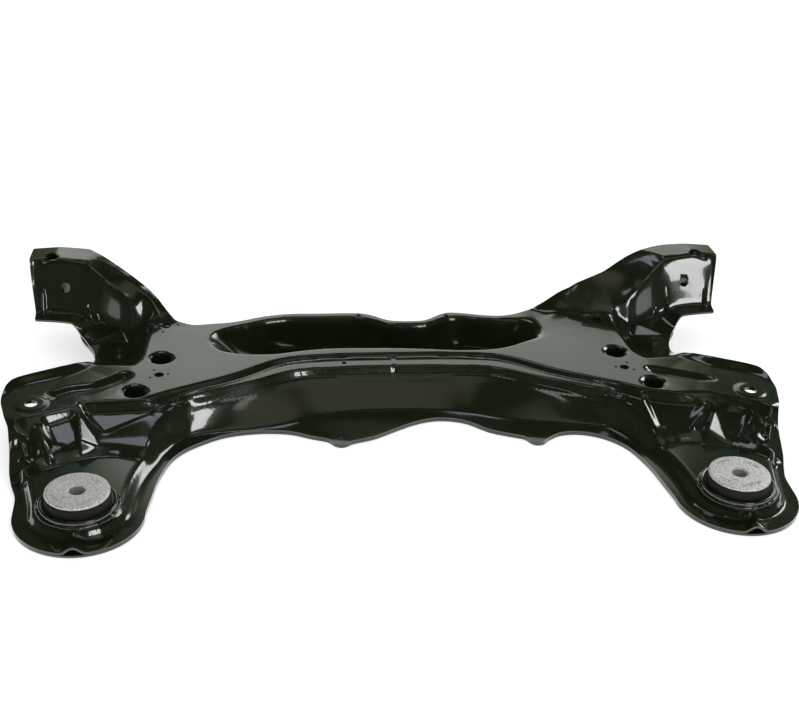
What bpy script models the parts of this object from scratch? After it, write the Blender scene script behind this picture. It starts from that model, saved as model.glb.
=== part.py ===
"""Front subframe of a small car: two pressed steel shells welded round a flat base flange, with two raised
horns, two ears and a bonded rubber bush in each rear lobe. Metres, +Z up, +Y towards the front of the car.
The plan is drawn from the bush line and the centre plane, then moved so that the origin lies under the
middle of the outline, on the plane that the base rests on."""

import bpy
import bmesh
from math import cos, hypot, pi, radians, sin
from mathutils import Vector
from mathutils.geometry import delaunay_2d_cdt

# Sheet metal
SHEET = 0.0025
GAP = 0.0003
MAX_SLANT = 3.0

# Levels of the upper skin, above the plane that the base rests on
FLANGE = 2 * SHEET + GAP
TOWER_RISE = 0.010
LEDGE_RISE = 0.034
POCKET_RISE = 0.005
POCKET_DEPTH = 0.0385
HORN_RISE = 0.110
EAR_DROP = 0.0015
TOWER = FLANGE + TOWER_RISE
LEDGE = FLANGE + LEDGE_RISE
POCKET = FLANGE + POCKET_RISE
PLATE = POCKET + POCKET_DEPTH
EAR = PLATE - EAR_DROP
HORN = FLANGE + HORN_RISE
LIP = PLATE + 0.0035
GAP_EDGE = PLATE - 0.0135
SCOOP = GAP_EDGE - 0.005
WALL_FOOT_Z = FLANGE + 0.003

# Plan: where the fastenings lie, from the bush line and the centre plane
BUSH_X = 0.350
EAR_HOLE = (0.4134, 0.1525)
HORN_HOLE = (0.412, 0.4015)
BODY_A = (0.2758, 0.2533)
BODY_B = (0.3022, 0.1756)
RACK_FRONT = (0.2726, 0.3345)
RACK_REAR = (0.2764, 0.2126)
HORN_FRONT_Y = 0.430

# Lobes and the towers that carry the bushes
LOBE_R = 0.0675
FOOT_RX = 0.051
FOOT_RY = 0.0465
TOWER_RX = 0.0475
TOWER_RY = 0.041
DRAIN_HALF = 0.011
DRAIN_RISE = 0.008
LOBE_STEP = 15

# Holes, as radii
FACE_HOLE = (0.3961, 0.3781)
FACE_HOLE_RX = 0.0055
FACE_HOLE_RY = 0.0022
EAR_HOLE_R = 0.007
HORN_HOLE_R = 0.0083
BODY_HOLE_R = 0.0122
RACK_HOLE_R = 0.0056
ROUND_SIDES = 20
SMALL_SIDES = 12

# Bush: core with a disc head, rubber, sleeve and the collar welded to the tower
DISC_INSET = 0.0033
DISC_H = 0.009
DISC_LIFT = 0.020
DISC_TAPER = 0.0012
CORE_R = 0.015
CORE_BORE_R = 0.0083
BORE_MOUTH_R = 0.0094
SLEEVE_R = 0.0365
DISC_R = SLEEVE_R - DISC_INSET
SLEEVE_WALL = 0.002
SLEEVE_LIFT = 0.0075
COLLAR_WALL = 0.0034
COLLAR_FOOT = 0.0078
COLLAR_H = 0.0068
BUSH_SIDES = 40

# Spacers, nuts and braces between the shells
SPACER_WALL = 0.0025
NUT_R = 0.0095
NUT_H = 0.010
EAR_RING_R = 0.018
EAR_RING_H = 0.003
BULKHEAD_T = 0.002
BULKHEAD_X = 0.236
BULKHEAD_Y = (0.172, 0.326)
BULKHEAD_STEP = 0.0055
HORN_SLEEVE_H = 0.040
RIM_INSET = 0.0035
CLOSING_T = 0.002
PLATE_LEAST = 0.004

# The bush spacing that the plan is drawn for
DRAWN_BUSH_X = 0.350

# Smoothness of drawn curves: the longest step along them, and the turn that stays a corner
CURVE_STEP = 0.0095
CORNER = radians(38)

ORIGIN_Y = (HORN_FRONT_Y - LOBE_R) / 2


def spread(x):
    """Outboard features move with the bushes, and the centre stretches between them."""
    shift = BUSH_X - DRAWN_BUSH_X
    share = min(1.0, abs(x) / (DRAWN_BUSH_X - LOBE_R))
    return x + shift * share * (1 if x > 0 else -1)


def placed(points):
    return [(spread(x), y - ORIGIN_Y, z) for x, y, z in points]


def level(points, z):
    return [(x, y, z) for x, y in points]


def mirrored(points):
    return [(-x, y, z) for x, y, z in points]


def both(points):
    return [points, mirrored(points)]


def ellipse(centre, rx, ry, start, stop, step):
    steps = max(2, round(abs(stop - start) / step))
    turns = [radians(start + (stop - start) * i / steps) for i in range(steps + 1)]
    return [(centre[0] + rx * cos(a), centre[1] + ry * sin(a)) for a in turns]


BUSH = (DRAWN_BUSH_X, 0.0)


def drain(x, rise):
    """How far the drain channel lifts the flange at a distance x from its middle."""
    return rise * max(0.0, 1 - (abs(x - BUSH[0]) / DRAIN_HALF) ** 2)


# The outline of the upper shell, right half, from the rear arch round the lobe, ear and horn
REAR_CENTRE = [
    (-0.229, 0.133), (-0.201, 0.149), (-0.162, 0.156), (-0.128, 0.153), (-0.103, 0.142), (-0.084, 0.134),
    (-0.0785, 0.1265), (-0.072, 0.1228), (-0.065, 0.1238), (-0.0585, 0.129), (-0.031, 0.139), (0.0, 0.158), (0.025, 0.171), (0.050, 0.176),
    (0.078, 0.169), (0.104, 0.148), (0.128, 0.137), (0.143, 0.1305),
    (0.1482, 0.1218), (0.1545, 0.1176), (0.1617, 0.1188), (0.168, 0.1255),
    (0.185, 0.137), (0.207, 0.139), (0.229, 0.132)]
LOBE_INNER = [(0.247, 0.118), (0.259, 0.101), (0.267, 0.080), (0.273, 0.058), (0.277, 0.034)]
LOBE_OUTER = [(0.4178, 0.018), (0.419, 0.034), (0.4245, 0.052), (0.429, 0.070), (0.431, 0.092)]
EAR_EDGE = [
    (0.4325, 0.103, FLANGE + 0.020), (0.4335, 0.112, EAR - 0.004), (0.4385, 0.125, EAR),
    (0.443, 0.142, EAR), (0.447, 0.158, EAR), (0.448, 0.173, EAR), (0.446, 0.187, EAR + 0.004),
    (0.439, 0.200, EAR + 0.007), (0.421, 0.211, EAR + 0.0075), (0.389, 0.227, EAR + 0.0075),
    (0.372, 0.241, EAR + 0.004), (0.3605, 0.252, EAR - 0.001)]
GAP_CURVE = [
    (0.3555, 0.264, GAP_EDGE + 0.004), (0.355, 0.278, GAP_EDGE), (0.358, 0.295, GAP_EDGE),
    (0.366, 0.315, GAP_EDGE), (0.376, 0.332, GAP_EDGE + 0.004), (0.387, 0.343, LIP - 0.001)]
HORN_EDGE = [
    (0.410, 0.347, LIP), (0.433, 0.350, LIP), (0.4335, 0.367, LIP + 0.0025), (0.437, 0.380, HORN - 0.030),
    (0.439, 0.389, HORN), (0.438, 0.423, HORN)]
RIM_LEFT = [
    (0.405, HORN_FRONT_Y - 0.002, HORN), (0.370, HORN_FRONT_Y, HORN - 0.004),
    (0.352, 0.417, HORN - 0.008), (0.331, 0.401, HORN - 0.016), (0.315, 0.389, HORN - 0.023),
    (0.300, 0.379, HORN - 0.031), (0.286, 0.369, HORN - 0.041), (0.274, 0.359, PLATE + 0.0125),
    (0.262, 0.349, PLATE + 0.001)]
RIM_RIGHT = [
    (0.405, HORN_FRONT_Y - 0.002, HORN), (0.374, HORN_FRONT_Y, HORN - 0.003),
    (0.346, 0.422, HORN - 0.006), (0.328, 0.414, HORN - 0.010), (0.308, 0.401, HORN - 0.015),
    (0.290, 0.390, HORN - 0.021), (0.271, 0.385, HORN - 0.027), (0.255, 0.383, HORN - 0.033),
    (0.244, 0.381, HORN - 0.039), (0.231, 0.380, PLATE + 0.021), (0.211, 0.374, PLATE + 0.010),
    (0.192, 0.367, PLATE + 0.002)]
FRONT_CENTRE = [
    (0.170, 0.358), (0.149, 0.353), (0.124, 0.356),
    (0.099, 0.362), (0.080, 0.363), (0.062, 0.351), (0.048, 0.342), (0.007, 0.343), (-0.007, 0.352),
    (-0.020, 0.361), (-0.035, 0.365), (-0.081, 0.365), (-0.119, 0.365), (-0.138, 0.362), (-0.157, 0.357),
    (-0.176, 0.349), (-0.195, 0.343), (-0.217, 0.340), (-0.241, 0.338)]

LOBE_ARC = [(x, y, FLANGE + drain(x, DRAIN_RISE) * (y < 0))
            for x, y in ellipse(BUSH, LOBE_R, LOBE_R, 180, 360, LOBE_STEP / 3)]
LOBE = level(LOBE_INNER, FLANGE) + LOBE_ARC + level(LOBE_OUTER, FLANGE)
SIDE = LOBE + EAR_EDGE + GAP_CURVE + HORN_EDGE
OUTLINE = (level(REAR_CENTRE, FLANGE) + SIDE + RIM_RIGHT + level(FRONT_CENTRE, PLATE)
           + mirrored(SIDE + RIM_LEFT)[::-1])

# Folds of the upper shell, right half, each at its own level
CREASE_RIGHT = [
    (0.0, 0.1915, WALL_FOOT_Z), (0.055, 0.189, WALL_FOOT_Z), (0.090, 0.179, WALL_FOOT_Z),
    (0.116, 0.167, WALL_FOOT_Z), (0.151, 0.160, WALL_FOOT_Z), (0.196, 0.155, WALL_FOOT_Z),
    (0.232, 0.149, WALL_FOOT_Z - 0.0005), (0.2585, 0.137, FLANGE + 0.0015)]
CREASE_LEFT = [
    (0.0, 0.1915, WALL_FOOT_Z), (-0.055, 0.189, WALL_FOOT_Z), (-0.090, 0.180, WALL_FOOT_Z),
    (-0.116, 0.1695, WALL_FOOT_Z), (-0.151, 0.163, FLANGE + 0.0015), (-0.196, 0.157, FLANGE + 0.001),
    (-0.232, 0.1505, FLANGE + 0.001), (-0.2585, 0.138, FLANGE + 0.0005)]
CREASE_SIDE = [(0.268, 0.122), (0.2745, 0.106), (0.2805, 0.089), (0.2875, 0.070), (0.2935, 0.047),
               (0.2975, 0.023)]
FOOT_OUTER = [(0.4035, 0.014), (0.407, 0.030), (0.4115, 0.046), (0.417, 0.062), (0.4225, 0.077),
              (0.426, 0.089)]
TOWER_INNER = [(0.2835, 0.087), (0.291, 0.069), (0.2965, 0.049), (0.3005, 0.026)]
TOWER_OUTER = [(0.399, 0.014), (0.402, 0.028), (0.405, 0.042), (0.408, 0.055)]
WALL_FOOT = [(0.396, 0.068), (0.377, 0.078), (0.357, 0.089), (0.336, 0.094), (0.315, 0.093), (0.296, 0.085)]
WALL_LOW = [(0.414, 0.062), (0.400, 0.075), (0.379, 0.085), (0.357, 0.096), (0.336, 0.101), (0.313, 0.100),
            (0.283, 0.096)]
WALL_MID = [(0.420, 0.078), (0.403, 0.087), (0.381, 0.096), (0.357, 0.107), (0.334, 0.112), (0.310, 0.112),
            (0.281, 0.109)]
WALL_TOP = [(0.428, 0.100), (0.408, 0.114), (0.385, 0.127), (0.357, 0.139), (0.330, 0.139), (0.303, 0.143),
            (0.285, 0.151), (0.268, 0.163)]
LEDGE_BACK = [(0.252, 0.1725), (0.229, 0.183), (0.207, 0.193), (0.183, 0.206), (0.166, 0.2175),
              (0.147, 0.231), (0.130, 0.240), (0.112, 0.2445), (0.060, 0.249), (0.0, 0.249)]
LEDGE_EDGE = [(0.255, 0.151), (0.249, 0.161), (0.227, 0.172), (0.194, 0.187), (0.161, 0.2015),
              (0.137, 0.215), (0.110, 0.2245), (0.060, 0.228), (0.0, 0.230)]
LEDGE_END = [(0.255, 0.151, LEDGE), (0.268, 0.132, LEDGE - 0.006), (0.281, 0.109, TOWER + 0.011)]
PLATE_REAR = [
    (0.4265, 0.116), (0.417, 0.125), (0.391, 0.136), (0.370, 0.145), (0.355, 0.150), (0.338, 0.150),
    (0.322, 0.149), (0.306, 0.154), (0.284, 0.163), (0.262, 0.175), (0.251, 0.180), (0.229, 0.191),
    (0.207, 0.2015), (0.184, 0.2145), (0.166, 0.227), (0.146, 0.240), (0.130, 0.2465), (0.113, 0.2505),
    (0.060, 0.255), (0.0, 0.2555)]
PLATE_SIDE = [(0.302, 0.349), (0.2945, 0.333), (0.2935, 0.315), (0.2955, 0.293), (0.297, 0.270),
              (0.2985, 0.252), (0.308, 0.236)]
SCOOP_LINE = [(0.3185, 0.328, SCOOP), (0.3165, 0.305, SCOOP - 0.001), (0.317, 0.283, SCOOP),
              (0.324, 0.262, SCOOP + 0.008)]
EAR_FLANGE = [(0.441, 0.178), (0.434, 0.190), (0.422, 0.1985), (0.404, 0.2055), (0.386, 0.2135),
              (0.368, 0.228), (0.350, 0.243)]
HORN_SHOULDER = [
    (0.405, 0.3905, HORN), (0.372, 0.392, HORN - 0.004), (0.349, 0.374, HORN - 0.021),
    (0.328, 0.361, HORN - 0.034), (0.312, 0.3545, HORN - 0.049), (0.302, 0.349, PLATE)]
BAND_LEFT = [
    (-0.365, 0.414, HORN - 0.005), (-0.342, 0.397, HORN - 0.013), (-0.322, 0.382, HORN - 0.021),
    (-0.307, 0.371, HORN - 0.030), (-0.292, 0.360, HORN - 0.042), (-0.280, 0.350, PLATE + 0.008)]
BAND_RIGHT = [
    (0.356, 0.412, HORN - 0.005), (0.325, 0.394, HORN - 0.016), (0.304, 0.380, HORN - 0.027),
    (0.285, 0.370, PLATE + 0.027), (0.262, 0.366, PLATE + 0.016), (0.238, 0.362, PLATE + 0.007),
    (0.215, 0.356, PLATE + 0.001)]
SHELF_RIGHT = [(0.297, 0.352, PLATE + 0.010), (0.275, 0.350, PLATE + 0.006), (0.250, 0.349, PLATE + 0.002)]
HORN_SILL = [
    (0.4335, 0.367, LIP + 0.0025), (0.410, 0.3665, LIP + 0.002), (0.388, 0.366, LIP),
    (0.362, 0.363, GAP_EDGE + 0.009), (0.338, 0.354, GAP_EDGE + 0.004), (0.318, 0.343, GAP_EDGE + 0.003)]
POCKET_EDGE = [
    (-0.207, 0.271), (-0.183, 0.262), (-0.159, 0.260), (-0.135, 0.262), (-0.111, 0.268), (-0.075, 0.273),
    (0.0, 0.272), (0.047, 0.268), (0.084, 0.264), (0.121, 0.265), (0.147, 0.272), (0.168, 0.284),
    (0.186, 0.298), (0.200, 0.314), (0.195, 0.330), (0.172, 0.342), (0.149, 0.342), (0.124, 0.345),
    (0.099, 0.351), (0.083, 0.351), (0.068, 0.343), (0.052, 0.333), (0.003, 0.333), (-0.012, 0.343),
    (-0.026, 0.351), (-0.038, 0.354), (-0.081, 0.354), (-0.117, 0.354), (-0.135, 0.351), (-0.153, 0.346),
    (-0.171, 0.338), (-0.192, 0.330), (-0.212, 0.318), (-0.220, 0.300), (-0.216, 0.282)]
POCKET_FLOOR = [
    (-0.162, 0.280), (-0.148, 0.275), (-0.110, 0.279), (-0.075, 0.284), (0.0, 0.283), (0.047, 0.279),
    (0.084, 0.275), (0.115, 0.276), (0.136, 0.282), (0.150, 0.293), (0.157, 0.307), (0.150, 0.321),
    (0.127, 0.332), (0.101, 0.3415), (0.086, 0.3415), (0.070, 0.3335), (0.054, 0.3235), (0.002, 0.3235),
    (-0.013, 0.3335), (-0.028, 0.342), (-0.040, 0.345), (-0.081, 0.345), (-0.115, 0.345), (-0.133, 0.342),
    (-0.150, 0.335), (-0.164, 0.325), (-0.172, 0.310), (-0.171, 0.292)]
RIBS = [
    ((0.404, 0.116), (0.3985, 0.077)), ((0.3835, 0.1275), (0.378, 0.088)), ((0.357, 0.138), (0.347, 0.1005))]
RIB_HALF = 0.006


def bends(a, b, c):
    """True where a line turns too sharply at b to be drawn as a curve."""
    before = Vector((b[0] - a[0], b[1] - a[1]))
    after = Vector((c[0] - b[0], c[1] - b[1]))
    if min(before.length, after.length) < GAP:
        return True
    return abs(before.angle_signed(after)) > CORNER


def curve(line, closed=False):
    """A smooth curve through the drawn points, in steps, with sharp corners and the heights between kept."""
    count = len(line)
    spots = []
    for i in range(count if closed else count - 1):
        p1, p2 = Vector(line[i]), Vector(line[(i + 1) % count])
        chord = (p2 - p1).xy
        steps = max(1, round(chord.length / CURVE_STEP))
        leave = arrive = chord
        if closed or i > 0:
            before = line[i - 1]
            if not bends(before, p1, p2):
                leave = (p2 - Vector(before)).xy.normalized() * chord.length
        if closed or i < count - 2:
            after = line[(i + 2) % count]
            if not bends(p1, p2, after):
                arrive = (Vector(after) - p1).xy.normalized() * chord.length
        for k in range(steps):
            t = k / steps
            spot = ((2 * t ** 3 - 3 * t ** 2 + 1) * p1.xy + (t ** 3 - 2 * t ** 2 + t) * leave
                    + (3 * t ** 2 - 2 * t ** 3) * p2.xy + (t ** 3 - t ** 2) * arrive)
            spots.append((spot.x, spot.y, p1.z + t * (p2.z - p1.z)))
    if not closed:
        spots.append(tuple(line[-1]))
    return spots


def inside(loop, x, y):
    hit = False
    for a, b in zip(loop, loop[1:] + loop[:1]):
        if (a[1] > y) != (b[1] > y) and x < a[0] + (y - a[1]) * (b[0] - a[0]) / (b[1] - a[1]):
            hit = not hit
    return hit


def triangulate(loops, lines):
    """Triangles in plan between closed loops and open fold lines, each point carrying its height."""
    points = []
    edges = []
    for group, closed in [(loops, True), (lines, False)]:
        for line in group:
            first = len(points)
            points += line
            edges += [(first + i, first + i + 1) for i in range(len(line) - 1)]
            if closed:
                edges.append((first + len(line) - 1, first))
    flat = [Vector((p[0], p[1])) for p in points]
    verts, _, faces, origin, _, _ = delaunay_2d_cdt(flat, edges, [], 0, 1e-6)
    spots = []
    for vert, sources in zip(verts, origin):
        if sources:
            height = points[sources[0]][2]
        else:
            height = height_on(points, edges, vert)
        spots.append(Vector((vert.x, vert.y, height)))
    outer = loops[0]
    kept = []
    for face in faces:
        x = sum(verts[i].x for i in face) / 3
        y = sum(verts[i].y for i in face) / 3
        if inside(outer, x, y) and not any(inside(hole, x, y) for hole in loops[1:]):
            kept.append(face)
    return spots, kept


def height_on(points, edges, spot):
    """Height of the drawn line that passes nearest to a crossing."""
    best = None
    for i, j in edges:
        a, b = Vector(points[i]), Vector(points[j])
        chord = (b - a).xy
        share = min(1.0, max(0.0, (spot - a.xy).dot(chord) / max(chord.length_squared, 1e-12)))
        away = (a.xy + share * chord - spot).length
        if best is None or away < best[0]:
            best = (away, a.z + share * (b.z - a.z))
    return best[1]


def height_at(spots, faces, x, y):
    """Height of a triangulated skin above a point of the plan."""
    for a, b, c in faces:
        p, q, r = spots[a], spots[b], spots[c]
        det = (q.x - p.x) * (r.y - p.y) - (r.x - p.x) * (q.y - p.y)
        if abs(det) < 1e-12:
            continue
        u = ((x - p.x) * (r.y - p.y) - (r.x - p.x) * (y - p.y)) / det
        v = ((q.x - p.x) * (y - p.y) - (x - p.x) * (q.y - p.y)) / det
        if u > -1e-6 and v > -1e-6 and u + v < 1 + 1e-6:
            return p.z + u * (q.z - p.z) + v * (r.z - p.z)
    return min(spots, key=lambda s: hypot(s.x - x, s.y - y)).z


def hole_ring(skin, centre, rx, ry, sides):
    ring = ellipse(centre, rx, ry, 0, 360, 360 / sides)[:-1]
    return [(x, y, height_at(*skin, x, y)) for x, y in ring]


def underside(spots, faces, thickness, foot):
    """The skin lowered by its thickness, and by more where it slants, apart from the foot of a wall."""
    slants = [[] for _ in spots]
    lowest_near = [spot.z for spot in spots]
    for face in faces:
        a, b, c = (spots[i] for i in face)
        normal = (b - a).cross(c - a)
        slant = min(MAX_SLANT, normal.length / max(abs(normal.z), 1e-12))
        for i in face:
            slants[i].append(slant)
            lowest_near[i] = min(lowest_near[i], a.z, b.z, c.z)
    under = [spot.copy() for spot in spots]
    for i, spot in enumerate(under):
        if slants[i]:
            at_foot = lowest_near[i] > spot.z - GAP / 3 or spot.z < foot + GAP / 3
            spot.z -= thickness * (1.0 if at_foot else sum(slants[i]) / len(slants[i]))
    return under


def sheet(name, outline, folds, holes, material, foot, thickness=SHEET):
    """A closed skin of even thickness, with holes given as (centre, rx, ry, sides) in plan. Folds up to the
    height of the foot keep their underside high. Returns the triangulated top and underside."""
    skin = triangulate([outline], folds)
    rings = [hole_ring(skin, *hole) for hole in holes]
    spots, faces = triangulate([outline] + rings, folds)
    under = underside(spots, faces, thickness, foot)
    used = sorted({i for face in faces for i in face})
    number = {old: new for new, old in enumerate(used)}
    mesh = bmesh.new()
    top = [mesh.verts.new(spots[i]) for i in used]
    low = [mesh.verts.new(under[i]) for i in used]
    seen = {}
    for face in faces:
        a, b, c = (spots[i] for i in face)
        order = face if (b - a).cross(c - a).z > 0 else face[::-1]
        ids = [number[i] for i in order]
        mesh.faces.new([top[i] for i in ids])
        mesh.faces.new([low[i] for i in reversed(ids)])
        for i, j in zip(ids, ids[1:] + ids[:1]):
            seen[(i, j)] = True
    for i, j in seen:
        if (j, i) not in seen:
            mesh.faces.new([top[j], top[i], low[i], low[j]])
    finish(name, mesh, material)
    return (spots, faces), (under, faces)


def finish(name, mesh, material):
    bmesh.ops.triangulate(mesh, faces=[f for f in mesh.faces if len(f.verts) > 4])
    bmesh.ops.recalc_face_normals(mesh, faces=mesh.faces)
    data = bpy.data.meshes.new(name)
    mesh.to_mesh(data)
    mesh.free()
    data.shade_smooth()
    data.set_sharp_from_angle(angle=radians(28))
    data.materials.append(material)
    part = bpy.data.objects.new(name, data)
    bpy.context.collection.objects.link(part)
    return part


def turned(name, profile, centre, sides, material):
    """A solid of revolution about a vertical axis: profile is a closed list of (radius, height)."""
    mesh = bmesh.new()
    rings = []
    for i in range(sides):
        a = 2 * pi * i / sides
        rings.append([mesh.verts.new((centre[0] + r * cos(a), centre[1] + r * sin(a), z)) for r, z in profile])
    count = len(profile)
    for ring, following in zip(rings, rings[1:] + rings[:1]):
        for k in range(count):
            n = (k + 1) % count
            mesh.faces.new([ring[k], following[k], following[n], ring[n]])
    return finish(name, mesh, material)


def tube(name, centre, outer, bore, low, high, sides, material):
    return turned(name, [(outer, high), (outer, low), (bore, low), (bore, high)], centre, sides, material)


def ribbon(name, stations, material):
    """A strip of plate through stations of four corners each, capped at both ends."""
    mesh = bmesh.new()
    rings = [[mesh.verts.new(corner) for corner in station] for station in stations]
    for ring, following in zip(rings, rings[1:]):
        for k in range(4):
            n = (k + 1) % 4
            mesh.faces.new([ring[k], following[k], following[n], ring[n]])
    mesh.faces.new(rings[0][::-1])
    mesh.faces.new(rings[-1])
    return finish(name, mesh, material)


def paint(name, colour, roughness, metallic):
    material = bpy.data.materials.new(name)
    material.use_nodes = True
    shader = material.node_tree.nodes["Principled BSDF"]
    shader.inputs["Base Color"].default_value = (*colour, 1)
    shader.inputs["Roughness"].default_value = roughness
    shader.inputs["Metallic"].default_value = metallic
    return material


def clear_scene():
    for item in list(bpy.data.objects):
        bpy.data.objects.remove(item, do_unlink=True)


def rib_lines():
    """Crest and both feet of each rib across the sloping wall, right half."""
    lines = []
    for top, foot in RIBS:
        along = Vector((foot[0] - top[0], foot[1] - top[1], 0)).normalized()
        side = Vector((-along.y, along.x, 0)) * RIB_HALF
        lines.append([(*top, LEDGE + 0.004), (*foot, TOWER + 0.0125)])
        for sign in (-1, 1):
            ends = [(top[0] + sign * side.x, top[1] - 0.006, LEDGE - 0.003),
                    (foot[0] + sign * side.x, foot[1] + 0.006, TOWER + 0.0095)]
            lines.append(ends)
    return lines


def upper_folds():
    """Every fold of the upper shell."""
    tower_arc = ellipse(BUSH, TOWER_RX, TOWER_RY, 180, 360, LOBE_STEP)
    foot_arc = ellipse(BUSH, FOOT_RX, FOOT_RY, 180, 360, LOBE_STEP)
    around = [(x, y, FLANGE + drain(x, DRAIN_RISE / 2) * (y < 0))
              for x, y in CREASE_SIDE + foot_arc + FOOT_OUTER]
    tower = level(TOWER_INNER + tower_arc + TOWER_OUTER + WALL_FOOT + TOWER_INNER[:1], TOWER)
    halves = [
        tower, level(WALL_LOW, TOWER + 0.008), level(WALL_MID, TOWER + 0.0105),
        level(WALL_TOP + LEDGE_BACK[:-1], LEDGE), level(LEDGE_EDGE[:-1], LEDGE), LEDGE_END,
        level(PLATE_REAR[:-1], PLATE), level(PLATE_SIDE, PLATE), SCOOP_LINE, level(EAR_FLANGE, EAR),
        HORN_SHOULDER, HORN_SILL]
    lines = [line for half in halves for line in both(half)] + [BAND_LEFT, BAND_RIGHT, SHELF_RIGHT]
    lines.append(mirrored(around)[::-1] + CREASE_LEFT[::-1] + CREASE_RIGHT[1:] + around)
    lines += [line for half in rib_lines() for line in both(half)]
    for row in (level(LEDGE_BACK[-2:], LEDGE), level(LEDGE_EDGE[-2:], LEDGE), level(PLATE_REAR[-2:], PLATE)):
        middle, end = sorted(row)
        lines.append([(-end[0], end[1], end[2]), middle, end])
    ear_seat = level(ellipse(EAR_HOLE, EAR_RING_R, EAR_RING_R, 0, 360, 24), EAR)
    lines += both(ear_seat[:-1] + ear_seat[:1])
    lines = [curve(line) for line in lines]
    for ring, z in [(POCKET_EDGE, PLATE), (POCKET_FLOOR, POCKET)]:
        closed = curve(level(ring, z), closed=True)
        lines.append(closed + closed[:1])
    return lines


def sides_of(point):
    return [("right", 1, point), ("left", -1, (-point[0], point[1]))]


def at(point):
    return (spread(point[0]), point[1] - ORIGIN_Y)


def both_holes(point, rx, ry, sides):
    return [(at(spot), rx, ry, sides) for _, _, spot in sides_of(point)]


# The lower shell: a pan whose floor carries the part, with a flange that meets the upper one
PAN_WALL = [(0.4215, 0.098), (0.400, 0.112), (0.376, 0.133)]
PAN_OUTER = [(0.358, 0.166), (0.346, 0.200), (0.343, 0.235), (0.349, 0.262)]
PAN_GAP = [(0.355, 0.278), (0.358, 0.295), (0.366, 0.315), (0.3745, 0.330), (0.380, 0.350), (0.384, 0.376),
           (0.382, 0.398), (0.372, 0.412)]
PAN_RIM_LEFT = [(-0.352, 0.408), (-0.331, 0.392), (-0.300, 0.371), (-0.274, 0.352), (-0.258, 0.344)]
PAN_RIM_RIGHT = [(0.346, 0.413), (0.308, 0.394), (0.271, 0.378), (0.236, 0.371), (0.211, 0.366),
                 (0.190, 0.360)]
PAN_FLOOR = [(0.4275, 0.0895), (0.4125, 0.092), (0.388, 0.108), (0.364, 0.133), (0.344, 0.165),
             (0.333, 0.200), (0.330, 0.240), (0.337, 0.280), (0.342, 0.302), (0.347, 0.322)]
FLOOR_RIM_LEFT = [(-0.344, 0.345), (-0.320, 0.345), (-0.290, 0.338), (-0.262, 0.324), (-0.241, 0.315)]
FLOOR_RIM_RIGHT = [(0.344, 0.345), (0.310, 0.352), (0.270, 0.350), (0.235, 0.343), (0.205, 0.334),
                   (0.172, 0.330)]
FLOOR_FRONT = [(0.149, 0.3365), (0.124, 0.340), (0.099, 0.3445), (0.080, 0.3445), (0.062, 0.334),
               (0.048, 0.326), (0.007, 0.327), (-0.007, 0.336), (-0.020, 0.344), (-0.035, 0.3475),
               (-0.119, 0.3475), (-0.138, 0.3445), (-0.157, 0.3395), (-0.176, 0.332), (-0.195, 0.325),
               (-0.217, 0.319)]
STRIP_W = 0.006
HORN_TRAY = GAP_EDGE - SHEET - GAP


def ceiling_over(under, x, y):
    """The greatest height of the lower shell at a point of the drawing, a gap below the upper shell."""
    return height_at(*under, spread(x), y - ORIGIN_Y) - 2 * GAP


def below(under, points, wanted):
    """Points of the lower shell: at the wanted height, and never nearer than a gap to the upper shell."""
    return [(x, y, min(wanted, ceiling_over(under, x, y))) for x, y in points]


def lower_shell(under, material):
    base = SHEET
    rear = level(REAR_CENTRE, base)
    lobe = [(x, y, base) for x, y, _ in LOBE]
    far = PLATE + HORN
    wall = below(under, PAN_WALL, TOWER - 2 * SHEET)
    side = lobe + wall + below(under, PAN_OUTER, EAR - SHEET - GAP) + below(under, PAN_GAP, HORN_TRAY)
    front = [(x, y - GAP, z) for x, y, z in below(under, FRONT_CENTRE, far)]
    rim_right = below(under, PAN_RIM_RIGHT, HORN_TRAY)
    rim_left = below(under, PAN_RIM_LEFT, HORN_TRAY)
    drawn = curve(rear + side + rim_right + front + rim_left[::-1] + mirrored(side)[::-1], closed=True)
    outline = [(x, y, max(base, min(z, ceiling_over(under, x, y)))) for x, y, z in drawn]
    strip = curve([(x, y - STRIP_W, z - SHEET / 2 - 2 * GAP) for x, y, z in front])
    floor = curve(level(PAN_FLOOR, base))
    front_floor = curve(level(FLOOR_RIM_RIGHT + FLOOR_FRONT + FLOOR_RIM_LEFT[::-1], base))
    folds = [floor, mirrored(floor), strip, front_floor]
    holes = []
    for bush in (BUSH, (-BUSH[0], BUSH[1])):
        holes.append((at(bush), SLEEVE_R + GAP, SLEEVE_R + GAP, BUSH_SIDES))
    for point in (BODY_A, BODY_B):
        holes += both_holes(point, BODY_HOLE_R, BODY_HOLE_R, ROUND_SIDES)
    return sheet("lower_shell", placed(outline), [placed(line) for line in folds], holes, material, base)[0]


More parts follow.
